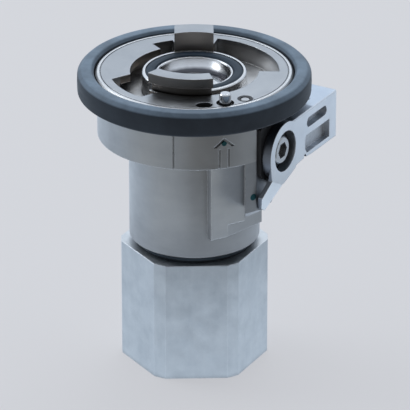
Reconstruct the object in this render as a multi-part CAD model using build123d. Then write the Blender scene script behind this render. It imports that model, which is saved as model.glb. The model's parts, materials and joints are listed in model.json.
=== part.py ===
from build123d import *
import os
from math import cos, radians, sin

# Quick disconnect coupler: one half of a genderless twist-lock coupling with a
# full-bore ball valve (shown shut), a spring-loaded face seal, a dual interlock
# and a swivelling hexagon end with a female pipe thread.
#
# Frame: origin at the centre of the port mouth on the hexagon's end face,
# +Z along the flow axis towards the mating face, +X along the valve stem
# towards the lever. Millimetres.

# ---------------------------------------------------------------- dimensions
# axial stations
z_hex_top = 41.6          # top of the swivel hexagon
z_barrel = 43.9           # lower end of the barrel
z_collar = 80.8           # underside of the collar
z_ball = 81.0             # ball and stem axis
z_face = 102.4            # mating face

# outside radii
hex_af = 44.45            # hexagon across flats, 1-3/4 in
hex_corner_r = 24.5       # corners turned to this radius
hex_clock = 1.8           # hexagon rotation at rest, degrees
barrel_r = 21.75
collar_r = 32.1
rim_r = 32.7              # metal rim round the mating face

# flow path
bore_r = 12.0
ball_r = 19.0
cavity_r = 19.4
port_minor_r = 15.1455    # G1 parallel thread, minor radius
port_depth = 19.0

# stem and lever
stem_r = 5.0
stem_bore_r = 5.05
stem_square = 6.5
drive_square = stem_square + 0.08
stem_grooves_x = (20.7, 22.9)
stem_groove_width = 1.4
flat_x = 30.0             # boss flat that carries the bearing plate
lever_face_x = 34.5
lever_back_x = 31.35
plate_screws_yz = ((8.6, z_ball + 9.0), (8.6, z_ball - 8.6))
stop_pin_yz = (-3.74, z_ball - 16.83)

# bayonet
carrier_r = 17.25
lug_in_r = 17.5
lug_root_r = 20.6
channel_r = 21.2
undercut_r = 24.9
recess_r = 28.0
z_floor = z_face - 6.7    # floor of the bayonet channel
z_overhang = z_face - 2.6 # underside of the overhanging face plate
z_lug = z_face + 6.3      # top of the lugs
z_lip = z_face + 2.9      # underside of the lug lips
narrow_lug_deg = 120.5
narrow_lug_width = 13.0
narrow_lip_r = 24.2
wide_lug_from, wide_lug_to = 258.0, 316.0
wide_lip_r = 22.4
long_recess_from, long_recess_to = 28.0, 104.0
short_recess_deg = 243.0
short_recess_width = 17.5
slot_from, slot_to = 136.0, 152.0

# interlock: polar positions are (radius, degrees)
lock_pin_polar = (28.5, 335.5)
plunger_polar = (28.4, 320.7)
oval_at, oval_deg = 28.5, 306.5
lock_spring_xy = (26.5, -1.5)
lock_stroke = 3.0         # lock pin rise over the lever's quarter turn
cam_r = 7.2
cam_shift = lock_stroke / 2  # cam offset from the stem axis, in both -Y and -Z

# swivel
spigot_r = 17.0
swivel_bore_r = 17.1
swivel_grooves_z = (24.6, 28.2)
swivel_groove_width = 2.2
swivel_groove_r = 15.0
adapter_r = 19.35
adapter_groove_z = (57.0, 59.2)
race_z = 33.0
race_ball_r = 2.0
race_pitch_r = 17.05
race_count = 25
fill_plug_deg = 120 + hex_clock


# ------------------------------------------------------------------- helpers
def cyl(r, z0, z1, x=0.0, y=0.0):
    return Pos(x, y, (z0 + z1) / 2) * Cylinder(r, z1 - z0)


def tube(r0, r1, z0, z1, x=0.0, y=0.0):
    return cyl(r1, z0, z1, x, y) - cyl(r0, z0 - 1, z1 + 1, x, y)


def xcyl(r, x0, x1, y=0.0, z=z_ball):
    return Pos((x0 + x1) / 2, y, z) * Rot(0, 90, 0) * Cylinder(r, x1 - x0)


def block(x0, x1, y0, y1, z0, z1):
    return Pos((x0 + x1) / 2, (y0 + y1) / 2, (z0 + z1) / 2) * Box(x1 - x0, y1 - y0, z1 - z0)


def square_bar(side, x0, x1):
    """Square bar along the stem axis."""
    half = side / 2
    return block(x0, x1, -half, half, z_ball - half, z_ball + half)


def ball_envelope(clearance=0.0):
    return Pos(0, 0, z_ball) * Sphere(ball_r + clearance)


def polar(r, deg):
    return r * cos(radians(deg)), r * sin(radians(deg))


def polygon(points):
    return make_face(Polyline(*points, close=True))


def hex_sketch(across_flats, rotation=0):
    return RegularPolygon(across_flats / 2, 6, major_radius=False, rotation=rotation)


def z_extrude(sketch, z0, z1, x=0.0, y=0.0):
    return extrude(Pos(x, y, z0) * sketch, z1 - z0)


def x_extrude(sketch, x0, x1, y=0.0, z=z_ball):
    """Extrude along +X; sketch x and y lie along Y and Z."""
    plane = Plane(origin=(x0, y, z), x_dir=(0, 1, 0), z_dir=(1, 0, 0))
    return extrude(plane * sketch, x1 - x0)


def yz_plate(points, x0, x1):
    """Plate from an outline of (y, height above the stem axis)."""
    return x_extrude(polygon(points), x0, x1)


def turned(points):
    """Solid of revolution about Z from a closed (radius, z) outline."""
    return revolve(polygon([(r, 0, z) for r, z in points]), Axis.Z, 360)


def torus(pitch_r, section_r, z=0.0):
    return revolve(Pos(pitch_r, 0, z) * Rot(90, 0, 0) * Circle(section_r), Axis.Z, 360)


def sector(r0, r1, deg0, deg1, z0, z1):
    """Annular sector from angle deg0 to deg1."""
    mid = (deg0 + deg1) / 2
    outer = ThreePointArc(polar(r1, deg0), polar(r1, mid), polar(r1, deg1))
    inner = ThreePointArc(polar(r0, deg1), polar(r0, mid), polar(r0, deg0))
    end = Line(polar(r1, deg1), polar(r0, deg1))
    start = Line(polar(r0, deg0), polar(r1, deg0))
    return z_extrude(make_face([outer, end, inner, start]), z0, z1)


def radial_block(deg, width, r0, r1, z0, z1):
    """Block centred on a radial line at deg."""
    return Rot(0, 0, deg) * block(r0, r1, -width / 2, width / 2, z0, z1)


def coil(radius, wire_r, z0, z1, turns, x, y):
    """Compression spring between z0 and z1, 0.05 clear at each end."""
    height = (z1 - z0) - 2 * wire_r - 0.1
    path = Helix(height / turns, height, radius)
    section = Plane(origin=path @ 0, z_dir=path % 0) * Circle(wire_r)
    spring = sweep(section, path=path, is_frenet=True)
    return Pos(x, y, z0 + wire_r + 0.05) * spring


def try_bevel(shape, edges, size):
    """Chamfer; an empty selection or a failed chamfer leaves the shape as it is."""
    try:
        done = chamfer(edges, size)
        return done if done.is_valid else shape
    except Exception:
        return shape


def circles_at(shape, z, r, tol=0.02):
    """Circular edges of radius r lying at height z."""
    return [e for e in shape.edges() if e.geom_type == GeomType.CIRCLE
            and abs(e.radius - r) < tol and abs(e.arc_center.Z - z) < tol]


lock_pin_xy = polar(*lock_pin_polar)
plunger_xy = polar(*plunger_polar)


# -------------------------------------------------------------- coupler body
def stem_boss():
    """Collar radius carried down, bevelled below, corner under the lever cut away."""
    bottom = 59.9
    plan = polygon([(17, -6.0), (23.24, -7.15), (28.4, -16.1), (40, -16.1),
                    (40, 11.4), (17, 11.4)])
    boss = z_extrude(plan, bottom, z_collar + 1)
    boss = boss & turned([(0, bottom), (29.0, bottom), (collar_r, 63.0),
                          (collar_r, 90), (0, 90)])
    return boss & yz_plate([(-30, 5), (-30, -22.2), (-5.4, -19.3), (11.4, -11.4),
                            (30, -2.5), (30, 5)], 10, 45)


def pad_and_ledge():
    """Flat pad beside the boss, and the narrow ledge at its lower end."""
    pad_deg, pad_width, pad_at = -32.0, 12.5, 23.5
    ledge_deg, ledge_at = -14, 22.3
    bottom, step = 51.6, 56.0
    lap = step + 0.01

    def slab(top):
        return radial_block(pad_deg, pad_width, 14, pad_at, bottom, top)

    pad = slab(z_collar + 1)
    pad_low = slab(step) & Rot(0, 0, ledge_deg) * block(10, ledge_at, -30, 16.5, bottom, step)
    ledge = Rot(0, 0, ledge_deg) * block(14, ledge_at, -3.0, 9.0, bottom, step)
    clockwise_half = Rot(0, 0, pad_deg) * block(0, 40, -pad_width, 0, bottom, lap)
    pad = (pad & cyl(40, step, 90)) + pad_low + (slab(lap) & clockwise_half)
    return pad, ledge


def bayonet_lugs():
    """Lugs rise from the channel floor and carry outward lips."""
    narrow = radial_block(narrow_lug_deg, narrow_lug_width, 10, lug_root_r, z_floor, z_lug) \
        + radial_block(narrow_lug_deg, narrow_lug_width, 10, 40, z_lip, z_lug)
    narrow = (narrow & cyl(narrow_lip_r, z_floor - 1, z_lug + 1)) - cyl(lug_in_r, 0, 200)
    wide = sector(lug_in_r, lug_root_r, wide_lug_from, wide_lug_to, z_floor, z_lug) \
        + sector(lug_in_r, wide_lip_r, wide_lug_from, wide_lug_to, z_lip, z_lug)
    return narrow, wide


def face_cuts():
    """Entry recesses for the other half's lugs, and a fine step on the rim."""
    z_over = z_face + 1
    in_r = undercut_r - 4
    short = radial_block(short_recess_deg, short_recess_width, 17.6, 40, z_floor, z_over) \
        & cyl(recess_r, 80, 110)
    # keep the wide lug whole where the short recess meets it
    short -= sector(10, 22.0, wide_lug_from - 0.2, wide_lug_to, z_floor - 1, z_face + 2)
    return [
        sector(in_r, recess_r, long_recess_from, long_recess_to, z_floor, z_over),
        short,
        sector(in_r, 26.4, slot_from, slot_to, z_floor, z_over),
        tube(30.85, 31.2, z_face - 0.25, z_over),
    ]


def stem_cuts():
    """Stem bore, thrust seat and cam chamber."""
    return [xcyl(stem_bore_r, 12, 32), xcyl(7.6, 12, 19.8), xcyl(9.6, 25.4, 32)]


def interlock_cuts():
    pocket = (block(24.2, 28.5, -14.1, 2.8, 86.6, 92.6) & cyl(30.9, 80, 95)) \
        + block(28.0, 31.0, -9.8, 2.8, 86.6, 92.6)
    oval = z_extrude(SlotOverall(5.4, 4.0), z_face - 6.0, z_face + 1)
    return [
        pocket,
        cyl(2.6, 92.0, 95.0, *lock_spring_xy),
        # lock pin bore and bush seat
        cyl(1.65, 92.0, 103, *lock_pin_xy),
        cyl(2.6, 97.7, 103, *lock_pin_xy),
        # sense plunger bores
        cyl(1.95, 90.0, 103, *plunger_xy),
        cyl(2.85, z_collar - 1, 94.0, *plunger_xy),
        cyl(2.9, z_face - 1.2, 103, *plunger_xy),
        # receiving slot
        Pos(*polar(oval_at, oval_deg), 0) * Rot(0, 0, oval_deg + 90) * oval,
    ]


def plate_fixing_cuts():
    """Holes for the bearing plate screws and the stop pin."""
    return [xcyl(1.05, 24.5, 31, *at) for at in plate_screws_yz] \
        + [xcyl(1.02, 25.4, 31, *stop_pin_yz)]


def collar_marks():
    """Caret with two short lines under it, and a plain witness line further round."""
    caret_deg, witness_deg = 317.7, 288.1
    caret = polygon([(-3.6, 0), (0, 3.2), (3.6, 0), (2.5, 0), (0, 2.2), (-2.5, 0)])
    marks = [Rot(0, 0, caret_deg) * x_extrude(caret, 31.4, 34.4, z=88.4)]
    for y in (-1.9, 1.2):
        marks.append(Rot(0, 0, caret_deg) * block(31.65, 34, y, y + 0.7, z_collar - 1, 87.6))
    marks.append(Rot(0, 0, witness_deg) * block(31.7, 34, -0.3, 0.3, z_collar - 1, 95.2))
    return marks


def coupler_body():
    """Face flange, collar and barrel in one piece, open at the back."""
    body = turned([
        (cavity_r, z_barrel), (barrel_r, z_barrel), (barrel_r, z_collar),
        (collar_r, z_collar), (collar_r, 95.3), (31.3, 95.3), (31.3, 97.3),
        (rim_r, 97.3), (rim_r, z_face - 0.7), (rim_r - 0.7, z_face),
        (channel_r, z_face), (channel_r, z_overhang), (undercut_r, z_overhang),
        (undercut_r, z_floor), (17.35, z_floor), (17.35, 94.2), (18.8, 94.2),
        (18.8, 92.4), (cavity_r, 92.4),
    ])
    for part in (stem_boss(), *pad_and_ledge()):
        body = body + (part - cyl(cavity_r, 40, 110))
    # flat for the bearing plate
    body -= block(flat_x, 45, -20, 20, 50, 93.6)
    for lug in bayonet_lugs():
        body = body + lug
    for cuts in (face_cuts, stem_cuts, interlock_cuts, plate_fixing_cuts, collar_marks):
        for cut in cuts():
            body -= cut
    body = try_bevel(body, circles_at(body, z_barrel, barrel_r), 0.5)
    return try_bevel(body, circles_at(body, z_collar, collar_r), 0.4)


# -------------------------------------------------------------- tail adapter
def swivel_race():
    return torus(race_pitch_r, race_ball_r + 0.03, race_z)


def tail_adapter():
    """Screws into the barrel, holds the rear seat and carries the swivel spigot."""
    grooves = []
    for z0 in swivel_grooves_z:
        z1 = z0 + swivel_groove_width
        grooves += [(spigot_r, z0), (swivel_groove_r, z0), (swivel_groove_r, z1), (spigot_r, z1)]
    z0, z1 = adapter_groove_z
    adapter = turned([
        (bore_r, 22.0), (spigot_r - 0.6, 22.0), (spigot_r, 22.6), *grooves,
        (spigot_r, z_barrel), (adapter_r, z_barrel), (adapter_r, z0),
        (17.6, z0), (17.6, z1), (adapter_r, z1), (adapter_r, 67.2), (17.5, 67.2),
        (17.5, 64.2), (bore_r, 64.2),
    ])
    return adapter - swivel_race()


def adapter_o_ring():
    return torus(18.5, 0.86, sum(adapter_groove_z) / 2)


# ----------------------------------------------------------------- the valve
def valve_ball():
    """Bored along Y, with a flat and a stem slot on the +X side."""
    flat_at, slot_floor, slot_width = 18.0, 15.9, 6.0
    ball = ball_envelope()
    ball -= Pos(0, 0, z_ball) * Rot(90, 0, 0) * Cylinder(bore_r, 60)
    ball -= block(flat_at, 25, -25, 25, 50, 110)
    ball -= block(slot_floor, 25, -slot_width / 2, slot_width / 2, 50, 110)
    return ball


def rear_ball_seat():
    seat_r = 17.45
    seat = turned([(12.6, 64.25), (seat_r, 64.25), (seat_r, 69.2), (12.6, 71.0)])
    seat -= ball_envelope(0.02)
    return seat & cyl(seat_r, 60, 69.4)


def seat_sleeve():
    """Slim tube up the middle of the face seal, flanged over the front seat."""
    sleeve = turned([
        (11.9, 95.9), (11.9, 101.5), (12.2, 101.9), (12.65, 101.9), (12.65, 97.0),
        (15.9, 97.0), (15.9, 94.0), (15.3, 94.0), (15.3, 96.0), (12.4, 96.0),
    ])
    return sleeve - ball_envelope(0.15)


def front_ball_seat():
    seat = turned([(12.45, 90.0), (15.25, 90.0), (15.25, 95.95), (12.45, 95.95)])
    return seat - ball_envelope(0.02)


def carrier_spring():
    """Conical disc spring between the sleeve flange and the seal carrier."""
    return turned([(12.9, 97.05), (13.4, 97.05), (15.75, 98.0), (15.75, 98.45),
                   (15.3, 98.45), (12.9, 97.5)])


def seal_carrier():
    """Floating carrier, kept in by its back flange."""
    return turned([
        (12.85, 98.55), (16.15, 98.55), (16.15, 92.75), (18.65, 92.75), (18.65, 94.1),
        (carrier_r, 94.1), (carrier_r, z_face - 0.35), (carrier_r - 0.35, z_face),
        (16.2, z_face), (16.2, 99.35), (12.85, 99.35),
    ])


def face_seal():
    """Rubber ring, slightly proud with a rounded crown."""
    return turned([(12.75, 99.4), (16.15, 99.4), (16.15, 102.0), (15.9, 102.25),
                   (15.2, 102.5), (14.2, 102.6), (13.3, 102.4), (12.75, 101.9)])


# ---------------------------------------------------------------- stem group
def valve_stem():
    stem = xcyl(stem_r, 18.2, 25.5) + xcyl(7.2, 18.2, 19.15)
    # tongue in the ball's slot
    stem += block(16.1, 18.3, -2.9, 2.9, z_ball - 6.5, z_ball + 6.5)
    stem += square_bar(stem_square, 25.4, 30.1) & xcyl(4.55, 20, 35)
    for x in stem_grooves_x:
        stem -= xcyl(8, x, x + stem_groove_width) - xcyl(3.9, x - 1, x + 3)
    # bore for the lever screw
    return stem - xcyl(2.5, 24.6, 35)


def stem_o_rings():
    return Compound(children=[
        Pos(x + stem_groove_width / 2, 0, z_ball) * Rot(0, 90, 0) * torus(4.47, 0.555)
        for x in stem_grooves_x])


def stem_thrust_washer():
    return xcyl(7.2, 19.17, 19.78) - xcyl(5.1, 15, 25)


def lever_bearing_plate():
    """Plate on the boss flat, around the lever hub, notched at its lower -Y corner."""
    plate = block(flat_x, flat_x + 1.2, -10.7, 10.7, 69.6, 93.4)
    plate &= xcyl(14.2, 29, 33, 0, z_ball + 1.2)
    plate -= xcyl(8.75, 29, 33)
    plate -= yz_plate([(-12, -4.6), (-10.7, -4.9), (-9.2, -7.2), (-5.6, -9.0),
                       (-1.5, -12.5), (-1.5, -20), (-12, -20)], 29, 33)
    for at in plate_screws_yz:
        plate -= xcyl(1.3, 29, 33, *at)
        plate -= xcyl(2.35, flat_x + 0.35, 33, *at)
    return plate


def bearing_plate_screws():
    screws = []
    for y, z in plate_screws_yz:
        screw = xcyl(1.0, 25.0, flat_x + 0.3, y, z) \
            + xcyl(2.2, flat_x + 0.36, flat_x + 1.1, y, z) \
            + xcyl(1.0, 29, flat_x + 0.5, y, z)
        screw -= block(flat_x + 0.75, flat_x + 3, y - 3, y + 3, z - 0.3, z + 0.3)
        screws.append(screw)
    return Compound(children=screws)


def interlock_cam():
    """Eccentric disc on the stem square."""
    cam = xcyl(cam_r, 25.7, 28.3, -cam_shift, z_ball - cam_shift)
    return cam - square_bar(drive_square, 20, 35)


# --------------------------------------------------------------------- lever
# Outlines are (y, height above the stem axis); the grip runs along +Y.
def lever_tail():
    """Short thin tail leaning in towards the boss, with a rib that meets the stop pin."""
    tip = (-7.7, -19.1)
    tail_back_x = 30.15
    throat = yz_plate([(-3.3, -9.4), (-1.2, -11.3), (1.24, -10.6), (7.2, -8.5), (6.0, 0)],
                      lever_back_x, lever_face_x)
    outline = [(-9.84, -1.79), (-8.8, -7.5), (-11.7, -13.1), (-10.2, -17.6), tip,
               (-0.6, -12.3), (0, -6)]
    rib_outline = [(-3.44, -15.0), tip, (-9.08, -17.66), (-4.82, -13.56)]

    lean_normal = Vector(62.2, -10.1, -18.2).normalized()
    lean_plane = Plane(origin=(lever_face_x, -5.3, z_ball - 9.45), x_dir=(0, 7.0, -3.9),
                       z_dir=lean_normal)
    lean_face = lean_plane * Rectangle(60, 60)
    tail = yz_plate(outline, tail_back_x, lever_face_x) & extrude(lean_face, -1.5)
    rib = yz_plate(rib_outline, tail_back_x, lever_face_x)
    rib = (rib & extrude(lean_face, -10)) - xcyl(15.7, 29, 36)
    tail = tail + rib

    # bevel along the lower edge
    bevel_from = Vector(34.60, -1.78, z_ball - 11.07)
    bevel_to = Vector(31.32, -7.94, z_ball - 18.85)
    bevel_run = (bevel_to - bevel_from).normalized()
    bevel_normal = lean_normal + Vector(0, 0.83, -0.87)
    bevel_normal = (bevel_normal - bevel_run * bevel_normal.dot(bevel_run)).normalized()
    bevel_plane = Plane(origin=bevel_from, x_dir=bevel_run, z_dir=bevel_normal)
    tail -= extrude(bevel_plane * Rectangle(60, 60), 10)
    return tail + throat


def lever():
    top, bottom, end_y = 8.7, -7.8, 35.0
    arm = xcyl(10.0, lever_back_x, lever_face_x)
    arm += yz_plate([(-3.5, top), (end_y, top), (end_y, bottom), (17.5, bottom),
                     (13.6, -7.4), (6.0, -8.0), (-2.0, 0)], lever_back_x, lever_face_x)
    # thick grip end, and the thinner web leading to it: y0, y1, back x
    for y0, y1, back_x in ((24.0, end_y, 25.0), (19.5, 26.0, 30.35)):
        arm += yz_plate([(y0, top), (y1, top), (y1, bottom), (y0, bottom)],
                        back_x, lever_face_x)
    arm += lever_tail()
    # hub, counterbore and square drive
    arm += xcyl(8.6, 28.6, 31.4)
    arm -= xcyl(7.0, 30.2, 40)
    arm -= square_bar(drive_square, 20, 40)
    # pockets and a small round hole in the outer face of the grip
    arm -= yz_plate([(14.6, -6.3), (30.0, -6.3), (30.0, 0.1), (14.0, 0.1),
                     (13.4, -1.2), (13.4, -4.6)], 32.3, 40)
    arm -= x_extrude(SlotOverall(13.6, 3.5), 31.9, 39.9, 21.2, z_ball + 4.35)
    arm -= xcyl(0.8, 32.5, 40, 13.4, z_ball - 7.1)
    # clearance round the barrel
    arm -= cyl(barrel_r + 0.85, 40, 80)
    # long straight top edges of the outer face
    edges = [e for e in arm.edges() if e.geom_type == GeomType.LINE
             and abs((e @ 0).X - lever_face_x) < 0.01 and abs((e @ 1).X - lever_face_x) < 0.01
             and e.length > 8 and max((e @ 0).Z, (e @ 1).Z) > z_ball + top - 0.1]
    return try_bevel(arm, edges, 0.4)


def lever_stop_pin():
    """Pin in the boss, against the tail's lower edge when the valve is shut."""
    return xcyl(1.0, 25.5, 31.2, *stop_pin_yz)


def lever_washer():
    return xcyl(6.6, 30.22, 31.0) - xcyl(2.6, 20, 40)


def lever_screw():
    head_r = 4.6
    screw = xcyl(2.48, 25.0, 31.1) + xcyl(head_r, 31.02, 33.4)
    screw -= x_extrude(hex_sketch(5.0), 31.9, 35.9)
    rim = [e for e in screw.edges() if e.geom_type == GeomType.CIRCLE
           and abs(e.radius - head_r) < 0.01 and e.arc_center.X > 33]
    return try_bevel(screw, rim, 0.45)


# ----------------------------------------------------------------- interlock
def lock_slider():
    slider = block(24.4, 28.25, -13.9, 2.5, 86.8, 89.3) & cyl(30.6, 80, 95)
    return slider - cyl(1.0, 80, 95, *lock_pin_xy)


def lock_pin():
    pin_r, top = 1.6, z_face - 0.2
    pin = cyl(pin_r, 89.32, top, *lock_pin_xy) + cyl(0.98, 86.9, 89.5, *lock_pin_xy)
    return try_bevel(pin, circles_at(pin, top, pin_r), 0.3)


def lock_pin_bush():
    return tube(1.66, 2.58, 97.72, z_face - 0.02, *lock_pin_xy)


def lock_pin_spring():
    return coil(1.9, 0.25, 89.35, 94.95, 4, *lock_spring_xy)


def sense_plunger():
    plunger_r, top = 1.9, z_face + 3.4
    plunger = cyl(plunger_r, 91.0, top, *plunger_xy) + cyl(2.75, 90.0, 92.0, *plunger_xy)
    return try_bevel(plunger, circles_at(plunger, top, plunger_r), 0.4)


def sense_plunger_spring():
    return coil(2.0, 0.25, 83.6, 89.95, 5, *plunger_xy)


def plunger_plug():
    plug = cyl(2.83, z_collar + 0.1, 83.5, *plunger_xy)
    return plug - z_extrude(hex_sketch(2.5), z_collar - 1, z_collar + 1.6, *plunger_xy)


# --------------------------------------------------------------- bumper ring
def bumper_ring():
    return turned([
        (31.4, 95.4), (32.25, 95.4), (32.25, 94.9), (37.0, 94.9), (38.1, 95.3),
        (38.7, 96.4), (38.7, 101.4), (38.2, 102.7), (37.0, 103.35), (34.6, 103.4),
        (33.8, 103.15), (33.5, 102.5), (32.85, 99.2), (32.85, 97.2), (31.4, 97.2),
    ])


# ---------------------------------------------------------------- swivel end
def swivel_hex():
    wiper_seat_r, wiper_seat_z, over = 19.6, 40.2, z_hex_top + 1
    body = z_extrude(hex_sketch(hex_af, 30 + hex_clock), 0, z_hex_top)
    body &= cyl(hex_corner_r, -1, 60)
    body -= cyl(port_minor_r, -1, port_depth)
    body -= cyl(bore_r, port_depth - 1, 22)
    body -= cyl(swivel_bore_r, 21.2, 60)
    body -= swivel_race()
    body -= turned([(0, wiper_seat_z), (wiper_seat_r, wiper_seat_z), (wiper_seat_r, over),
                    (0, over)])
    # ball filling hole
    return body - Rot(0, 0, fill_plug_deg) * xcyl(2.5, 17.5, 30, 0, race_z)


def race_fill_plug():
    socket = x_extrude(hex_sketch(2.5), 20.4, 24.4, z=race_z)
    return Rot(0, 0, fill_plug_deg) * (xcyl(2.48, 19.3, 21.9, 0, race_z) - socket)


def swivel_balls():
    return Compound(children=[
        Pos(*polar(race_pitch_r, 360 / race_count * i), race_z) * Sphere(race_ball_r)
        for i in range(race_count)])


def swivel_o_rings():
    return Compound(children=[torus(16.04, 1.02, z + swivel_groove_width / 2)
                              for z in swivel_grooves_z])


def swivel_wiper():
    return turned([(17.12, 40.25), (19.55, 40.25), (19.55, 42.2), (18.6, 43.6),
                   (17.12, 43.6)])


def swivel_thrust_ring():
    return tube(12.4, 16.9, 21.25, 21.95)


# -------------------------------------------------------------------- export
# Each file takes the name of the function that builds it.
os.makedirs("parts", exist_ok=True)
for build in (
    coupler_body, tail_adapter, adapter_o_ring,
    valve_ball, rear_ball_seat, seat_sleeve, front_ball_seat,
    carrier_spring, seal_carrier, face_seal,
    valve_stem, stem_o_rings, stem_thrust_washer,
    lever_bearing_plate, bearing_plate_screws, interlock_cam,
    lever, lever_stop_pin, lever_washer, lever_screw,
    lock_slider, lock_pin, lock_pin_bush, lock_pin_spring,
    sense_plunger, sense_plunger_spring, plunger_plug, bumper_ring,
    swivel_hex, race_fill_plug, swivel_balls, swivel_o_rings,
    swivel_wiper, swivel_thrust_ring,
):
    export_step(build(), f"parts/{build.__name__}.step")
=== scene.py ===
"""Lever-operated ball valve coupling, standing on Z with its hexagon end fitting down.

The mating face, rubber bumper ring and face seal are at the top, about 0.1 m up, and the
cast lever is on the +X side. Scene units are metres; turned and coiled parts are drawn in
millimetres.
"""
import json
import math
import bmesh
import bpy
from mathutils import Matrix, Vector


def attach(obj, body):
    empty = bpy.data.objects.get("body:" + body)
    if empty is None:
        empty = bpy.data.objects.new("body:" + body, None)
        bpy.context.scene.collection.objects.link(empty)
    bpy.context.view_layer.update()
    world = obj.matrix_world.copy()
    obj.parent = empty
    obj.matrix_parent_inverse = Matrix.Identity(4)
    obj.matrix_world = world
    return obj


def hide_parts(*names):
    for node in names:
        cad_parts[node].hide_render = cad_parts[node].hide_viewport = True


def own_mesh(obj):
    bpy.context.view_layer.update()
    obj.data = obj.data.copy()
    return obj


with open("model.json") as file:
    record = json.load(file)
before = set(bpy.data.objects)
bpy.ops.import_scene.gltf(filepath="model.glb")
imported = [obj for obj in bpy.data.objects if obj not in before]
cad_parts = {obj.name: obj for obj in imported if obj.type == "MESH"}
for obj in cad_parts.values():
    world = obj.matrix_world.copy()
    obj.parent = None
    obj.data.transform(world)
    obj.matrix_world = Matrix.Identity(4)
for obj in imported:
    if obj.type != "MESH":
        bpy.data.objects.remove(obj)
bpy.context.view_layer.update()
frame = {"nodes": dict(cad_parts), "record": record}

MM = 0.001
nodes = frame["nodes"]
slot_of = {part["node"]: part["material_slot"] for part in frame["record"]["subparts"]}
scene = bpy.context.scene


# ------------------------------------------------------------ shader node helpers
class Graph:
    """Short calls for wiring shader nodes. Inputs take a value or a socket."""

    def __init__(self, tree):
        self.tree = tree
        tree.nodes.clear()

    def node(self, kind, **settings):
        node = self.tree.nodes.new(kind)
        for key, value in settings.items():
            setattr(node, key, value)
        return node

    def put(self, socket, value):
        if isinstance(value, bpy.types.NodeSocket):
            self.tree.links.new(value, socket)
        elif socket.type == "RGBA":
            socket.default_value = (*value, 1.0)
        else:
            socket.default_value = value

    def fill(self, node, *values):
        """Feed the first inputs of a node in order and return its first output."""
        for socket, value in zip(node.inputs, values):
            self.put(socket, value)
        return node.outputs[0]

    def feed(self, kind, **inputs):
        """Make a node, feed its inputs by name and return its first output."""
        node = self.node(kind)
        for key, value in inputs.items():
            self.put(node.inputs[key], value)
        return node.outputs[0]

    def math(self, operation, first, second=0.0, third=0.0, clamp=False):
        node = self.node("ShaderNodeMath", operation=operation, use_clamp=clamp)
        return self.fill(node, first, second, third)

    def times(self, product, *factors):
        for factor in factors:
            product = self.math("MULTIPLY", product, factor)
        return product

    def plus(self, first, second):
        return self.math("ADD", first, second)

    def minus(self, first, second, clamp=False):
        return self.math("SUBTRACT", first, second, clamp=clamp)

    def size(self, value):
        return self.math("ABSOLUTE", value)

    def weighted(self, first, second, weights):
        return self.plus(self.times(first, weights[0]), self.times(second, weights[1]))

    def length(self, x, y):
        return self.math("SQRT", self.plus(self.times(x, x), self.times(y, y)))

    def vector_math(self, operation, vector, other):
        node = self.node("ShaderNodeVectorMath", operation=operation)
        self.fill(node, vector, other)
        return node.outputs["Value"]

    def dot(self, vector, axis):
        return self.vector_math("DOT_PRODUCT", vector, axis)

    def split(self, vector):
        node = self.node("ShaderNodeSeparateXYZ")
        self.fill(node, vector)
        return tuple(node.outputs)

    def span(self, value, over, to=(0.0, 1.0)):
        """Map one range onto another, held at both ends."""
        return self.fill(self.node("ShaderNodeMapRange", clamp=True), value, *over, *to)

    def mix(self, mask, base, colour, blend="MIX"):
        node = self.node("ShaderNodeMix", data_type="RGBA", blend_type=blend)
        self.put(node.inputs[0], mask)
        self.put(node.inputs[6], base)
        self.put(node.inputs[7], colour)
        return node.outputs[2]

    def mix_shader(self, mask, first, second):
        return self.fill(self.node("ShaderNodeMixShader"), mask, first, second)


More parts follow.
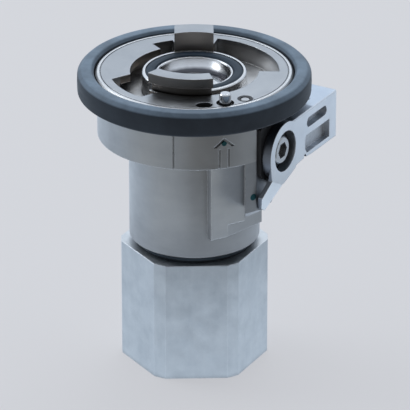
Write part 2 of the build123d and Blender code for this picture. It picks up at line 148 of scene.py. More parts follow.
class Material(Graph):
    """A procedural material whose running base colour is kept in self.colour."""

    def __init__(self, name):
        self.material = bpy.data.materials.new(name)
        self.material.use_nodes = True
        super().__init__(self.material.node_tree)
        self.output = self.node("ShaderNodeOutputMaterial")
        self.coords = self.node("ShaderNodeTexCoord")
        self.position = self.coords.outputs["Object"]
        self._polar = None

    # places
    def xyz(self):
        return self.split(self.position)

    def facing(self):
        """Object-space surface normal, as x, y, z."""
        return self.split(self.coords.outputs["Normal"])

    def polar(self):
        """Radius, angle and height about the Z axis."""
        if self._polar is None:
            x, y, z = self.xyz()
            self._polar = (self.length(x, y), self.math("ARCTAN2", y, x), z)
        return self._polar

    def box(self, low, high, soft=0.00005):
        """1 inside a box given in metres, 0 outside."""
        inside = []
        for place, start, end in zip(self.xyz(), low, high):
            inside.append(self.times(self.span(place, over=(start - soft, start + soft)),
                                     self.span(place, over=(end + soft, end - soft))))
        return self.times(*inside)

    # textures
    def noise(self, scale, detail=3.0, rough=0.55, vector=None, distortion=0.0):
        return self.feed("ShaderNodeTexNoise", Vector=vector or self.position, Scale=scale,
                         Detail=detail, Roughness=rough, Distortion=distortion)

    def stretched_noise(self, places, scales, detail, rough):
        """Noise with its own scale along each of three coordinates."""
        scaled = [self.times(place, scale) for place, scale in zip(places, scales)]
        vector = self.fill(self.node("ShaderNodeCombineXYZ"), *scaled)
        return self.noise(scale=1.0, detail=detail, rough=rough, vector=vector)

    def turned_noise(self, radial, axial, around, detail=3.0, rough=0.6):
        """Noise drawn out round the Z axis, like lathe marks."""
        radius, angle, z = self.polar()
        return self.stretched_noise((radius, z, angle), (radial, axial, around), detail, rough)

    def cells(self, scale):
        return self.feed("ShaderNodeTexVoronoi", Vector=self.position, Scale=scale)

    # surface shape
    def edge(self, radius):
        """A mask, 1 on sharp edges and 0 on open faces, and the bevelled normal."""
        bevel = self.node("ShaderNodeBevel", samples=4)
        bevel.inputs["Radius"].default_value = radius
        geometry = self.node("ShaderNodeNewGeometry")
        match = self.dot(bevel.outputs[0], geometry.outputs["Normal"])
        return self.span(match, over=(0.995, 0.9)), bevel.outputs[0]

    def worn_edges(self, radius, patch_scale, least):
        """Edge mask broken up in patches, never weaker than `least`, and bevelled normal."""
        wear, bevelled = self.edge(radius)
        patches = self.span(self.noise(patch_scale), over=(0.3, 0.6), to=(least, 1.0))
        return self.times(wear, patches), bevelled

    def cavity(self, distance):
        """0 deep in a gap, 1 in the open."""
        node = self.node("ShaderNodeAmbientOcclusion", samples=6)
        node.inputs["Distance"].default_value = distance
        return node.outputs["AO"]

    def bump(self, height, strength, distance, normal=None):
        inputs = {"Strength": strength, "Distance": distance, "Height": height}
        if normal is not None:
            inputs["Normal"] = normal
        return self.feed("ShaderNodeBump", **inputs)

    # colour
    def two_tone(self, value, low, high, over=(0.3, 0.7), to=(0.0, 1.0)):
        """Start the base colour as a mottle of two colours."""
        self.colour = self.mix(self.span(value, over, to), low, high)

    def paint(self, mask, colour):
        self.colour = self.mix(mask, self.colour, colour)

    def tint(self, mask, by):
        """Multiply the base colour inside the mask."""
        self.colour = self.mix(mask, self.colour, by, "MULTIPLY")

    def shade_gaps(self, amount, reach, colour=(0.10, 0.10, 0.10)):
        # painted shade: colour darkened where ambient occlusion finds gaps and corners
        gap = self.minus(1.0, self.cavity(reach))
        self.paint(self.math("MULTIPLY", gap, amount, clamp=True), colour)

    # ends
    def surface(self, shader):
        self.put(self.output.inputs["Surface"], shader)
        return self.material

    def finish(self, rough, metal, normal, **extra):
        inputs = {"Base Color": self.colour, "Roughness": rough, "Metallic": metal,
                  "Normal": normal, **extra}
        return self.surface(self.feed("ShaderNodeBsdfPrincipled", **inputs))


# ------------------------------------------------------------ materials
def blasted_steel(name, dots):
    """Turned, bead-blasted stainless: soft circular tool lines under a fine even grain."""
    mat = Material(name)
    radius, _, z = mat.polar()
    lines = mat.turned_noise(radial=2600.0, axial=2600.0, around=1.3, detail=2.0)
    grain = mat.noise(scale=2600.0, detail=2.0, rough=0.7)
    cloud = mat.noise(scale=55.0, detail=4.0, rough=0.6)
    streak = mat.turned_noise(radial=180.0, axial=260.0, around=2.0, rough=0.55)
    mat.two_tone(cloud, low=(0.50, 0.505, 0.515), high=(0.60, 0.60, 0.605))
    mat.paint(mat.span(streak, over=(0.45, 0.75), to=(0.0, 0.35)), colour=(0.66, 0.66, 0.655))
    worn, bevelled = mat.worn_edges(radius=0.00035, patch_scale=420.0, least=0.45)
    mat.paint(worn, colour=(0.82, 0.82, 0.83))
    # painted shade in gaps and corners
    mat.shade_gaps(amount=0.55, reach=0.0018)
    for centre, dot_radius in dots:
        away = mat.vector_math("DISTANCE", mat.position, centre)
        mat.paint(mat.span(away, over=(dot_radius, dot_radius * 0.82)),
                  colour=(0.045, 0.15, 0.165))
    rough = mat.span(mat.noise(scale=260.0), over=(0.25, 0.75), to=(0.33, 0.45))
    rough = mat.minus(rough, mat.times(worn, 0.14))

    # the mating face, its recesses and lugs are left as turned and smoother; painted shade
    # darkens the top of the face, and the rest of the cut, the rim included, is painted lighter
    # as a highlight
    cut = mat.times(mat.span(radius, over=(0.0324, 0.0318)), mat.span(z, over=(0.0945, 0.0955)))
    upright = mat.span(mat.size(mat.facing()[2]), over=(0.35, 0.75), to=(1.0, 0.0))
    wall = mat.times(cut, upright)
    rough = mat.minus(rough, mat.times(cut, 0.05))
    top = mat.times(cut, mat.span(z, over=(0.1004, 0.1016), to=(0.0, 0.9)),
                    mat.span(radius, over=(0.0313, 0.0311)))
    # painted shade on the top of the face
    mat.tint(top, by=(0.70, 0.725, 0.755))
    # painted highlight on the rim and the rest of the cut
    mat.tint(mat.minus(cut, top, clamp=True), by=(1.20, 1.20, 1.20))
    # painted shade: deep corners of the recesses and the bores in the face are painted nearly
    # black
    deep_shade = mat.times(mat.minus(1.0, mat.cavity(distance=0.0055), clamp=True), cut)
    mat.paint(mat.span(deep_shade, over=(0.30, 0.85), to=(0.0, 0.85)), colour=(0.035, 0.033, 0.031))
    # the barrel darkens towards its lower end
    mat.tint(mat.span(z, over=(0.0580, 0.0450)), by=(0.80, 0.80, 0.81))
    # painted shade, brownish, on the walls of the lugs and recesses, strongest inside this radius
    inner = mat.span(radius, over=(0.0252, 0.0245), to=(0.1, 1.0))
    mat.tint(mat.times(wall, inner), by=(0.72, 0.63, 0.55))

    # the milled pad under the collar is smoother than the blasted barrel, and painted lighter as
    # a highlight, most towards its top
    x, y, _ = mat.xyz()
    pad_angle = math.radians(-32.0)
    pad_cos, pad_sin = math.cos(pad_angle), math.sin(pad_angle)
    along = mat.plus(mat.times(x, pad_cos), mat.times(y, pad_sin))
    aside = mat.size(mat.minus(mat.times(y, pad_cos), mat.times(x, pad_sin)))
    milled_pad_lit = mat.times(mat.span(along, over=(0.02335, 0.02345)),
                       mat.span(aside, over=(0.0063, 0.0062)),
                       mat.span(along, over=(0.02365, 0.02355)),
                       mat.span(z, over=(0.0811, 0.0808)))
    # painted highlight on the pad, full near its top and half as strong low down
    mat.tint(mat.times(milled_pad_lit, mat.span(z, over=(0.060, 0.078), to=(0.5, 1.0))),
             by=(1.55, 1.55, 1.54))
    rough = mat.minus(rough, mat.times(milled_pad_lit, 0.06))
    # painted shade: the flank of the boss, outside the pad, is painted a little darker
    flank_shade = mat.box(low=(0.015, -0.0165, 0.0585), high=(0.0325, 0.0116, 0.0808))
    flank_shade = mat.times(flank_shade, mat.span(along, over=(0.0236, 0.0240)))
    mat.tint(flank_shade, by=(0.78, 0.79, 0.81))

    height = mat.weighted(lines, grain, weights=(0.55, 0.45))
    depth = mat.span(mat.math("MAXIMUM", cut, milled_pad_lit), over=(0.0, 1.0), to=(0.22, 0.04))
    normal = mat.bump(height, strength=depth, distance=0.00006, normal=bevelled)
    return mat.finish(rough, metal=1.0, normal=normal)


def machined_steel(name):
    """Hexagon bar: pale blue-grey satin, cloudy, with faint tool lines up the flats."""
    mat = Material(name)
    lines = mat.stretched_noise(mat.xyz(), scales=(900.0, 900.0, 60.0), detail=3.0, rough=0.6)
    grain = mat.noise(scale=1500.0, rough=0.7)
    cloud = mat.noise(scale=160.0, detail=5.0, rough=0.62)
    patch = mat.noise(scale=45.0, detail=4.0)
    mat.two_tone(cloud, low=(0.585, 0.615, 0.645), high=(0.69, 0.715, 0.74), over=(0.35, 0.68))
    mat.paint(mat.span(patch, over=(0.4, 0.7), to=(0.0, 0.35)), colour=(0.75, 0.77, 0.79))
    mat.paint(mat.span(lines, over=(0.5, 0.8), to=(0.0, 0.22)), colour=(0.76, 0.775, 0.79))
    worn, bevelled = mat.worn_edges(radius=0.0005, patch_scale=380.0, least=0.4)
    mat.paint(worn, colour=(0.88, 0.90, 0.92))
    # painted shade in gaps and corners
    mat.shade_gaps(amount=0.5, reach=0.0016)
    rough = mat.span(mat.noise(scale=220.0, detail=4.0), over=(0.25, 0.75), to=(0.38, 0.52))
    rough = mat.minus(rough, mat.times(worn, 0.14))
    height = mat.weighted(lines, grain, weights=(0.5, 0.4))
    normal = mat.bump(height, strength=0.2, distance=0.00006, normal=bevelled)
    return mat.finish(rough, metal=1.0, normal=normal)


def bright_steel(name, rough=(0.10, 0.2), tone=0.74, hairline=0.10, gap_shade=0.45, reach=0.0012):
    """Polished or ground stainless with hair scratches; painted shade darkens gaps of size reach.
    """
    mat = Material(name)
    hair = mat.turned_noise(radial=3000.0, axial=3000.0, around=3.0, detail=4.0)
    scuff = mat.noise(scale=900.0, detail=4.0, rough=0.7, distortion=1.5)
    cloud = mat.noise(scale=130.0)
    mat.two_tone(cloud, low=(tone, tone, tone * 1.01), high=(tone * 1.1, tone * 1.1, tone * 1.11))
    wear, bevelled = mat.edge(radius=0.0002)
    mat.paint(wear, colour=(0.9, 0.9, 0.9))
    # painted shade in gaps and corners
    mat.shade_gaps(amount=gap_shade, reach=reach, colour=(0.06, 0.06, 0.065))
    marks = mat.weighted(hair, scuff, weights=(0.6, 0.4))
    normal = mat.bump(hair, strength=hairline, distance=0.00002, normal=bevelled)
    return mat.finish(mat.span(marks, over=(0.3, 0.7), to=rough), metal=1.0, normal=normal)


def sleeve_steel(name):
    """Polished bore sleeve: bright at the mouth, with painted shade low down where it meets the
    ball.
    """
    mat = Material(name)
    _, _, z = mat.polar()
    hair = mat.turned_noise(radial=2200.0, axial=2200.0, around=2.0)
    patchy_tone = mat.noise(scale=300.0, detail=4.0, rough=0.6)
    mat.two_tone(patchy_tone, low=(0.88, 0.88, 0.895), high=(0.95, 0.95, 0.96))
    # the painted shade's edge wanders up and down by a fraction of a millimetre
    edge_height = mat.plus(z, mat.times(mat.minus(patchy_tone, 0.5), 0.0006))
    mat.tint(mat.span(edge_height, over=(0.0989, 0.0977)), by=(0.15, 0.15, 0.165))
    wear, bevelled = mat.edge(radius=0.0002)
    mat.paint(mat.times(wear, 0.6), colour=(0.9, 0.9, 0.9))
    rough = mat.span(hair, over=(0.3, 0.7), to=(0.19, 0.27))
    normal = mat.bump(hair, strength=0.05, distance=0.00002, normal=bevelled)
    return mat.finish(rough, metal=1.0, normal=normal)


def cast_steel(name):
    """Electropolished casting: pale, slightly orange-peeled, with bright worn edges."""
    mat = Material(name)
    peel = mat.noise(scale=900.0)
    pits = mat.cells(scale=1500.0)
    cloud = mat.noise(scale=90.0, detail=4.0)
    mat.two_tone(cloud, low=(0.84, 0.87, 0.915), high=(0.93, 0.95, 0.98))
    # as-cast floors of the two pockets
    low = mat.span(mat.xyz()[0], over=(0.03430, 0.03400))
    pocket = mat.times(low, mat.box(low=(0.0300, 0.0129, 0.0746), high=(0.0345, 0.0302, 0.0874)),
                       mat.span(mat.facing()[0], over=(0.4, 0.8), to=(0.35, 1.0)))
    # painted shade: the rim of the head is painted dark, a band round the hub's X axis, on
    # side-facing surfaces
    hub_height = 0.081
    face_x, face_y, face_z = mat.facing()
    _, y, z = mat.xyz()
    hub = mat.length(y, mat.minus(z, hub_height))
    band = mat.times(mat.span(hub, over=(0.0215, 0.0205)), mat.span(hub, over=(0.0080, 0.0086)))
    shaded_rim = mat.times(mat.span(mat.size(face_x), over=(0.4, 0.75), to=(1.0, 0.0)),
                    mat.span(face_y, over=(0.25, -0.1)), band)
    mat.tint(shaded_rim, by=(0.27, 0.28, 0.31))
    # painted shade: upward-facing surfaces of the lever are darkened and cooled
    mat.tint(mat.span(face_z, over=(0.6, 0.9)), by=(0.60, 0.655, 0.72))
    worn, bevelled = mat.worn_edges(radius=0.00035, patch_scale=500.0, least=0.4)
    mat.paint(worn, colour=(0.93, 0.94, 0.96))
    # painted shade in gaps and corners
    mat.shade_gaps(amount=0.55, reach=0.0022, colour=(0.2, 0.21, 0.22))
    as_cast = mat.mix(mat.span(peel, over=(0.3, 0.7)),
                      base=(0.68, 0.70, 0.735), colour=(0.80, 0.82, 0.85))
    mat.paint(mat.times(pocket, 0.92), as_cast)
    rough = mat.span(mat.noise(scale=340.0), over=(0.25, 0.75), to=(0.30, 0.42))
    rough = mat.minus(rough, mat.times(worn, 0.12))
    rough = mat.plus(rough, mat.times(pocket, 0.22))
    height = mat.weighted(peel, pits, weights=(0.7, 0.25))
    normal = mat.bump(height, strength=0.18, distance=0.0001, normal=bevelled)
    return mat.finish(rough, metal=1.0, normal=normal)


def dark_steel(name):
    """Black-oxide steel rubbed bright on its edges."""
    mat = Material(name)
    mat.two_tone(mat.noise(scale=300.0, detail=4.0),
                 low=(0.028, 0.029, 0.032), high=(0.060, 0.060, 0.064))
    wear, bevelled = mat.edge(radius=0.0002)
    mat.paint(mat.times(wear, 0.7), colour=(0.35, 0.35, 0.36))
    rough = mat.span(mat.noise(scale=800.0), over=(0.25, 0.75), to=(0.36, 0.56))
    normal = mat.bump(mat.noise(scale=2200.0), strength=0.2, distance=0.00005, normal=bevelled)
    return mat.finish(rough, metal=0.8, normal=normal)


def wire_steel(name):
    """Drawn spring wire."""
    mat = Material(name)
    drawn = mat.noise(scale=2600.0, rough=0.6)
    mat.two_tone(mat.noise(scale=200.0), low=(0.45, 0.45, 0.46), high=(0.56, 0.56, 0.57))
    rough = mat.span(drawn, over=(0.3, 0.7), to=(0.24, 0.4))
    return mat.finish(rough, metal=1.0, normal=mat.bump(drawn, strength=0.2, distance=0.00004))


def moulded_rubber(name, dark, pale, lit_top):
    """Satin rubber: fine skin grain, faint flow rings, blotchy tone and a painted highlight on
    upward faces.
    """
    mat = Material(name)
    skin = mat.noise(scale=2100.0, rough=0.65)
    flow = mat.turned_noise(radial=700.0, axial=700.0, around=4.0, rough=0.55)
    blotch = mat.noise(scale=75.0, detail=5.0, rough=0.62)
    mat.two_tone(blotch, low=dark, high=pale, over=(0.35, 0.75), to=(0.0, 0.55))
    up = mat.split(mat.node("ShaderNodeNewGeometry").outputs["Normal"])[2]
    # painted highlight: upward faces are lightened in blotches
    mat.paint(mat.times(mat.span(up, over=(0.30, 0.85)),
                        mat.span(blotch, over=(0.38, 0.60), to=(0.60, 1.0))), lit_top)
    wear, _ = mat.edge(radius=0.0004)
    mat.paint(mat.times(wear, mat.span(blotch, over=(0.35, 0.65), to=(0.1, 0.55))),
              colour=(0.09, 0.105, 0.125))
    speck = mat.span(mat.cells(scale=1300.0), over=(0.10, 0.04), to=(0.0, 0.35))
    mat.paint(mat.times(speck, mat.span(mat.noise(scale=160.0), over=(0.52, 0.7))),
              colour=(0.13, 0.14, 0.155))
    rough = mat.span(mat.weighted(flow, blotch, weights=(0.5, 0.5)),
                     over=(0.3, 0.7), to=(0.40, 0.56))
    height = mat.weighted(skin, flow, weights=(0.7, 0.5))
    normal = mat.bump(height, strength=0.25, distance=0.00008)
    sheen = {"Specular IOR Level": 0.22, "Specular Tint": (0.74, 0.89, 1.0)}
    return mat.finish(rough, metal=0.0, normal=normal, **sheen)


def polymer(name, low, high, rough):
    """Machined plastic with tool marks and paler edges."""
    mat = Material(name)
    tool = mat.turned_noise(radial=2200.0, axial=2200.0, around=2.0, detail=2.0, rough=0.5)
    mat.two_tone(mat.noise(scale=140.0, detail=4.0), low, high)
    wear, bevelled = mat.edge(radius=0.0002)
    mat.paint(mat.times(wear, 0.35), colour=tuple(min(1.0, c * 1.8 + 0.02) for c in high))
    rough = mat.span(mat.noise(scale=700.0), over=(0.3, 0.7), to=rough)
    normal = mat.bump(tool, strength=0.2, distance=0.00005, normal=bevelled)
    return mat.finish(rough, metal=0.0, normal=normal)


# painted blue-green dots as (centre, radius): one on the collar, one on the boss by the pad
COLLAR_RADIUS = 0.0321
COLLAR_ANGLE = math.radians(317.7)
DOTS = [((COLLAR_RADIUS * math.cos(COLLAR_ANGLE), COLLAR_RADIUS * math.sin(COLLAR_ANGLE), 0.0897),
         0.0010),
        ((0.0295, -0.01256, 0.0683), 0.0013)]

slot_materials = {
    "stainless_blasted": blasted_steel("stainless_blasted", DOTS),
    "stainless_machined": machined_steel("stainless_machined"),
    "stainless_polished": bright_steel("stainless_polished"),
    "lever_cast_steel": cast_steel("lever_cast_steel"),
    "black_oxide_steel": dark_steel("black_oxide_steel"),
    "spring_steel": wire_steel("spring_steel"),
    # the bumper gets a painted highlight on its upward faces
    "rubber_black": moulded_rubber("rubber_black", dark=(0.034, 0.040, 0.050),
                                   pale=(0.060, 0.075, 0.095), lit_top=(0.220, 0.285, 0.360)),
    "ptfe_white": polymer("ptfe_white", low=(0.74, 0.73, 0.70), high=(0.84, 0.835, 0.81),
                          rough=(0.45, 0.6)),
    "polymer_black": polymer("polymer_black", low=(0.010, 0.010, 0.012),
                             high=(0.024, 0.024, 0.027), rough=(0.45, 0.65)),
}
# pieces whose finish differs from the rest of their slot
piece_materials = {
    "valve_ball": bright_steel("ball_mirror", rough=(0.05, 0.10), hairline=0.02),
    "seat_sleeve": sleeve_steel("sleeve_polished"),
    "lock_pin": bright_steel("pin_ground", rough=(0.22, 0.34), tone=0.52),
    "seal_carrier": bright_steel("carrier_ground", rough=(0.22, 0.34), tone=0.70),
    "lever_stop_pin": bright_steel("screw_bright", rough=(0.16, 0.28), tone=0.70),
    # the cap screw sits in deep painted shade in its counterbore
    "lever_screw": bright_steel("screw_cap", rough=(0.20, 0.34), tone=0.56, hairline=0.12,
                                gap_shade=1.0, reach=0.0030),
}
piece_materials["sense_plunger"] = piece_materials["lever_stop_pin"]


def assign(obj, material):
    if not obj.material_slots:
        obj.data.materials.append(material)
    for slot in obj.material_slots:
        slot.material = material


for node_name, cad_piece in nodes.items():
    assign(cad_piece, piece_materials.get(node_name) or slot_materials[slot_of[node_name]])


# ------------------------------------------------------------ mesh helpers
def add_mesh(name, solid):
    mesh = bpy.data.meshes.new(name)
    solid.to_mesh(mesh)
    solid.free()
    obj = bpy.data.objects.new(name, mesh)
    scene.collection.objects.link(obj)
    return obj


def skin(name, sections, closed=False, smooth=True):
    """Solid through a row of closed sections, joined into a loop or capped at its ends."""
    solid = bmesh.new()
    rings = [[solid.verts.new(point) for point in section] for section in sections]
    following = rings[1:] + rings[:1] if closed else rings[1:]
    count = len(rings[0])
    for ring, other in zip(rings, following):
        for k in range(count):
            after = (k + 1) % count
            solid.faces.new((ring[k], other[k], other[after], ring[after]))
    if not closed:
        solid.faces.new(rings[0])
        solid.faces.new(list(reversed(rings[-1])))
    bmesh.ops.recalc_face_normals(solid, faces=solid.faces)
    obj = add_mesh(name, solid)
    if smooth:
        # the end caps stay flat
        polygons = obj.data.polygons
        polygons.foreach_set("use_smooth", [len(face.vertices) == 4 for face in polygons])
    return obj


def smooth_outline(corners, steps=6):
    """Closed (radius, z) outline from corners of (radius, z, rounding)."""
    points = [Vector(corner[:2]) for corner in corners]
    outline = []
    for i, corner in enumerate(points):
        rounding = corners[i][2]
        if rounding <= 0:
            outline.append(tuple(corner))
            continue
        before, after = points[i - 1], points[(i + 1) % len(points)]
        back_way, on_way = (before - corner).normalized(), (after - corner).normalized()
        half = math.acos(max(-1.0, min(1.0, back_way.dot(on_way)))) / 2
        cut = min(rounding / math.tan(half), (before - corner).length * 0.49,
                  (after - corner).length * 0.49)
        rounding = cut * math.tan(half)
        centre = corner + (back_way + on_way).normalized() * (rounding / math.sin(half))
        start, end = corner + back_way * cut - centre, corner + on_way * cut - centre
        start_angle = math.atan2(start.y, start.x)
        turn = math.atan2(end.y, end.x) - start_angle
        while turn > math.pi:
            turn -= 2 * math.pi
        while turn < -math.pi:
            turn += 2 * math.pi
        for k in range(steps + 1):
            angle = start_angle + turn * k / steps
            outline.append((centre.x + rounding * math.cos(angle),
                            centre.y + rounding * math.sin(angle)))
    return outline


def lathe(name, outline, segments=256):
    """Closed ring turned about Z from a (radius, z) outline in millimetres."""
    sections = []
    for i in range(segments):
        angle = 2 * math.pi * i / segments
        sections.append([(radius * MM * math.cos(angle), radius * MM * math.sin(angle), z * MM)
                         for radius, z in outline])
    return skin(name, sections, closed=True)


def thread_ridge(name, radius, height, pitch, bottom, top, steps=96):
    """One helical ridge standing inwards from a bore wall, fading out at both ends."""
    root, foot = 0.12, 0.05      # section starts this far into the wall and leaves it here
    fade_steps = steps * 0.35
    half = pitch * 0.46
    count = int((top - bottom) / pitch * steps)
    sections = []
    for i in range(count + 1):
        angle = 2 * math.pi * i / steps
        crest = max(0.02, height * min(1.0, i / fade_steps, (count - i) / fade_steps))
        z = bottom + pitch * i / steps
        # (radius, share of the half width) from the wall to the crest
        side = [(radius + root, 1.0), (radius - foot, 0.92),
                (radius - crest * 0.9, 0.22), (radius - crest, 0.10)]
        section = [(r, -half * share) for r, share in side]
        section += [(r, half * share) for r, share in reversed(side)]
        sections.append([(r * MM * math.cos(angle), r * MM * math.sin(angle), (z + rise) * MM)
                         for r, rise in section])
    return skin(name, sections, smooth=False)


def coil(name, x, y, radius, wire, bottom, top, turns, around=40, sides=12):
    """Compression spring standing on Z, of round wire with radius `wire`. Millimetres."""
    count = int(turns * around)
    rise = (top - bottom - 2 * wire) / count
    sections = []
    for i in range(count + 1):
        angle = 2 * math.pi * i / around
        z = bottom + wire + rise * i
        section = []
        for k in range(sides):
            wire_angle = 2 * math.pi * k / sides
            reach = radius + wire * math.cos(wire_angle)
            section.append(((x + reach * math.cos(angle)) * MM,
                            (y + reach * math.sin(angle)) * MM,
                            (z + wire * math.sin(wire_angle)) * MM))
        sections.append(section)
    return skin(name, sections)


def fit(obj, material, rides, replaces=None):
    """Give a new piece its material and tell the frame where it belongs."""
    assign(obj, material)
    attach(obj, rides)
    if replaces:
        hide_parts(replaces)


# ------------------------------------------------------------ rubber rings
# corners as (radius, z, rounding), millimetres
BUMPER = [
    (31.42, 95.42, 0.1), (32.3, 95.42, 0.1), (32.3, 94.92, 0.25), (37.2, 94.92, 1.2),
    (38.55, 95.7, 0.9), (38.66, 99.3, 0.0), (38.55, 101.9, 1.3), (37.1, 103.35, 1.1),
    (34.0, 103.38, 1.0), (33.1, 102.3, 0.8), (32.88, 99.0, 0.3), (32.88, 97.18, 0.15),
    (31.42, 97.18, 0.1),
]
FACE_SEAL = [
    (12.76, 99.42, 0.1), (16.14, 99.42, 0.1), (16.14, 102.1, 0.3), (15.2, 102.52, 0.6),
    (14.2, 102.6, 0.9), (13.2, 102.35, 0.5), (12.76, 101.9, 0.3),
]
fit(lathe("bumper_ring_moulded", smooth_outline(BUMPER)), slot_materials["rubber_black"],
    rides="housing", replaces="bumper_ring")
# the face seal gets a faint painted highlight on its upward faces
seal_rubber = moulded_rubber("rubber_seal", dark=(0.006, 0.010, 0.018),
                             pale=(0.020, 0.032, 0.048), lit_top=(0.030, 0.045, 0.065))
fit(lathe("face_seal_moulded", smooth_outline(FACE_SEAL)), seal_rubber,
    rides="face_carrier", replaces="face_seal")

# ------------------------------------------------------------ springs
PLUNGER_ANGLE = math.radians(320.7)
PLUNGER_X = 28.4 * math.cos(PLUNGER_ANGLE)
PLUNGER_Y = 28.4 * math.sin(PLUNGER_ANGLE)
WIRE = 0.24
# (radius, z), millimetres
SPRING_DISC = [(12.92, 97.07), (13.4, 97.07), (15.72, 98.0), (15.72, 98.43), (15.3, 98.43),
               (12.92, 97.48)]
# each: (spring, node, joint, anchor in metres, part kept)
springs = [
    (coil("plunger_spring_coil", PLUNGER_X, PLUNGER_Y, radius=2.0, wire=WIRE,
          bottom=83.62, top=89.92, turns=5),
     "sense_plunger_spring", "plunger_press", (PLUNGER_X * MM, PLUNGER_Y * MM, 0.0836), 0.37),
    (coil("lock_pin_spring_coil", 26.5, -1.5, radius=1.9, wire=WIRE,
          bottom=89.42, top=94.90, turns=4),
     "lock_pin_spring", "lock_pin_rise", (0.0265, -0.0015, 0.09495), 0.455),
    (lathe("carrier_spring_disc", SPRING_DISC),
     "carrier_spring", "carrier_float", (0.0, 0.0, 0.09706), 0.14),
]
for spring, node_name, joint, anchor, keep in springs:
    fit(spring, slot_materials["spring_steel"], rides="housing", replaces=node_name)
    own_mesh(spring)

# ------------------------------------------------------------ port thread
ridge = thread_ridge("port_thread", radius=15.1455, height=0.62, pitch=2.309,
                     bottom=1.3, top=17.4)
fit(ridge, bright_steel("thread_cut", rough=(0.22, 0.36), tone=0.55, hairline=0.15),
    rides="end_fitting")

# ------------------------------------------------------------ studio
scene.view_settings.view_transform = "Standard"
scene.view_settings.look = "None"

# the camera's direction from the piece, and level axes to its right and towards it
AZIMUTH, ELEVATION = math.radians(30), math.radians(25)
view = Vector((math.sin(AZIMUTH) * math.cos(ELEVATION),
               -math.cos(AZIMUTH) * math.cos(ELEVATION), math.sin(ELEVATION)))
right = Vector((math.cos(AZIMUTH), math.sin(AZIMUTH), 0.0))
toward = Vector((math.sin(AZIMUTH), -math.cos(AZIMUTH), 0.0))
UP = Vector((0.0, 0.0, 1.0))

BACKDROP = (0.651, 0.658, 0.694)
COOL, PALE, WARM = (0.86, 1.0, 1.17), (0.92, 1.0, 1.07), (1.0, 1.0, 0.97)
# Studio tones as (place, brightness, hue). Place runs by compass direction from straight
# behind (0) round by the left, the camera's side (0.5) and the right to behind again (1).
NEAR_FLOOR = (0.625, 0.72, 0.83)
LOW = [
    (0.0, 0.90, COOL), (0.14, 0.72, COOL), (0.24, 0.53, COOL), (0.33, 0.42, PALE),
    (0.42, 0.36, PALE), (0.46, 0.26, PALE), (0.50, 0.10, WARM), (0.57, 0.10, WARM),
    (0.63, 0.25, PALE), (0.70, 0.26, PALE), (0.78, 0.26, PALE), (0.88, 0.40, COOL),
    (1.0, 0.85, COOL),
]
FAR = [
    (0.0, 0.90, COOL), (0.14, 0.72, COOL), (0.24, 0.53, COOL), (0.33, 0.42, PALE),
    (0.42, 0.37, PALE), (0.46, 0.30, PALE), (0.50, 0.155, WARM), (0.57, 0.125, WARM),
    (0.63, 0.25, PALE), (0.70, 0.31, PALE), (0.76, 0.48, COOL), (0.82, 0.64, COOL),
    (0.90, 0.72, COOL), (1.0, 0.90, COOL),
]
HIGH = [
    (0.0, 0.80, COOL), (0.14, 0.74, COOL), (0.24, 0.50, COOL), (0.33, 0.26, PALE),
    (0.42, 0.13, WARM), (0.50, 0.07, WARM), (0.60, 0.08, WARM), (0.70, 0.22, PALE),
    (0.78, 0.38, PALE), (0.88, 0.66, COOL), (1.0, 0.80, COOL),
]


def surround(graph, across, ahead, stops):
    """Colour from a table of studio tones, by compass direction."""
    turn = graph.math("ARCTAN2", across, ahead)
    place = graph.math("MULTIPLY_ADD", turn, 0.5 / math.pi, 0.5, clamp=True)
    node = graph.node("ShaderNodeValToRGB")
    elements = node.color_ramp.elements
    while len(elements) < len(stops):
        elements.new(0.5)
    for element, (position, tone, hue) in zip(elements, stops):
        element.position = position
        element.color = (*(tone * channel for channel in hue), 1.0)
    return graph.fill(node, place)


def floor_paper():
    """Pale paper that shows the studio tones in reflections and is clear from below."""
    mat = Material("floor_paper")
    paper = mat.mix(mat.noise(scale=9.0, detail=4.0),
                    base=(0.235, 0.232, 0.232), colour=(0.241, 0.238, 0.238))
    grain = mat.bump(mat.noise(scale=900.0), strength=0.02, distance=0.0002)
    diffuse = mat.feed("ShaderNodeBsdfDiffuse", Color=paper, Normal=grain)
    glow = mat.feed("ShaderNodeEmission", Color=BACKDROP, Strength=0.72)
    seen = mat.fill(mat.node("ShaderNodeAddShader"), diffuse, glow)
    across, ahead = mat.dot(mat.position, right), mat.dot(mat.position, toward)
    distance = mat.length(across, ahead)
    outer = mat.mix(mat.span(distance, over=(0.150, 0.190)),
                    surround(mat, across, ahead, LOW), surround(mat, across, ahead, FAR))
    tones = mat.mix(mat.span(distance, over=(0.106, 0.122)), NEAR_FLOOR, outer)
    mirrored = mat.feed("ShaderNodeEmission", Color=tones)
    glossy = mat.node("ShaderNodeLightPath").outputs["Is Glossy Ray"]
    top = mat.mix_shader(glossy, seen, mirrored)
    below = mat.node("ShaderNodeNewGeometry").outputs["Backfacing"]
    return mat.surface(mat.mix_shader(below, top, mat.feed("ShaderNodeBsdfTransparent")))


def add_floor():
    sheet = bmesh.new()
    bmesh.ops.create_grid(sheet, x_segments=24, y_segments=24, size=6.0)
    floor = add_mesh("floor", sheet)
    floor.location = (0, 0, -0.0001)
    assign(floor, floor_paper())


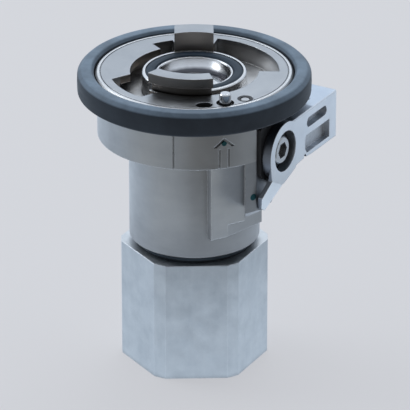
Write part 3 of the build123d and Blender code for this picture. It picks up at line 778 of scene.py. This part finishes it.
def add_world():
    """Studio tones all round under a pale sky; the camera sees the plain backdrop."""
    world = bpy.data.worlds.new("studio")
    scene.world = world
    world.use_nodes = True
    graph = Graph(world.node_tree)
    output = graph.node("ShaderNodeOutputWorld")
    way = graph.node("ShaderNodeTexCoord").outputs["Generated"]
    ring = surround(graph, graph.dot(way, right), graph.dot(way, toward), HIGH)
    # the sky starts higher on the camera's side
    lean = graph.minus(graph.dot(way, UP), graph.times(graph.dot(way, toward), 0.45))
    sky = graph.mix(graph.span(lean, over=(0.45, 0.95)), ring, colour=(0.79, 0.87, 0.97))
    lit = graph.feed("ShaderNodeBackground", Color=sky, Strength=1.0)
    plain = graph.feed("ShaderNodeBackground", Color=BACKDROP)
    camera_ray = graph.node("ShaderNodeLightPath").outputs["Is Camera Ray"]
    graph.put(output.inputs["Surface"], graph.mix_shader(camera_ray, lit, plain))


def add_light(name, energy, color, across, ahead, rise):
    """Disk light aimed at the middle of the piece from a direction in camera terms."""
    data = bpy.data.lights.new(name, "AREA")
    data.shape = "DISK"
    data.size = 0.9
    data.energy = energy
    data.color = color
    light = bpy.data.objects.new(name, data)
    direction = (right * across + toward * ahead + UP * rise).normalized()
    light.location = Vector((0, 0, 0.07)) + direction * 1.6
    light.rotation_mode = "QUATERNION"
    light.rotation_quaternion = direction.to_track_quat("Z", "Y")
    scene.collection.objects.link(light)


def add_camera(distance=1.5, aim_right=0.0035, aim_height=0.0535):
    data = bpy.data.cameras.new("camera")
    data.sensor_width = 36.0
    data.lens = 395.0
    data.clip_start = 0.05
    data.clip_end = 50.0
    camera = bpy.data.objects.new("camera", data)
    scene.collection.objects.link(camera)
    camera.location = right * aim_right + Vector((0, 0, aim_height)) + view * distance
    camera.rotation_mode = "QUATERNION"
    camera.rotation_quaternion = view.to_track_quat("Z", "Y")
    scene.camera = camera


add_floor()
add_world()
add_light("key_left", energy=5.0, color=(0.95, 0.98, 1.0), across=-0.85, ahead=-0.45, rise=0.8)
add_light("top_back", energy=4.0, color=(0.97, 0.99, 1.0), across=0.15, ahead=-0.7, rise=1.0)
add_camera()
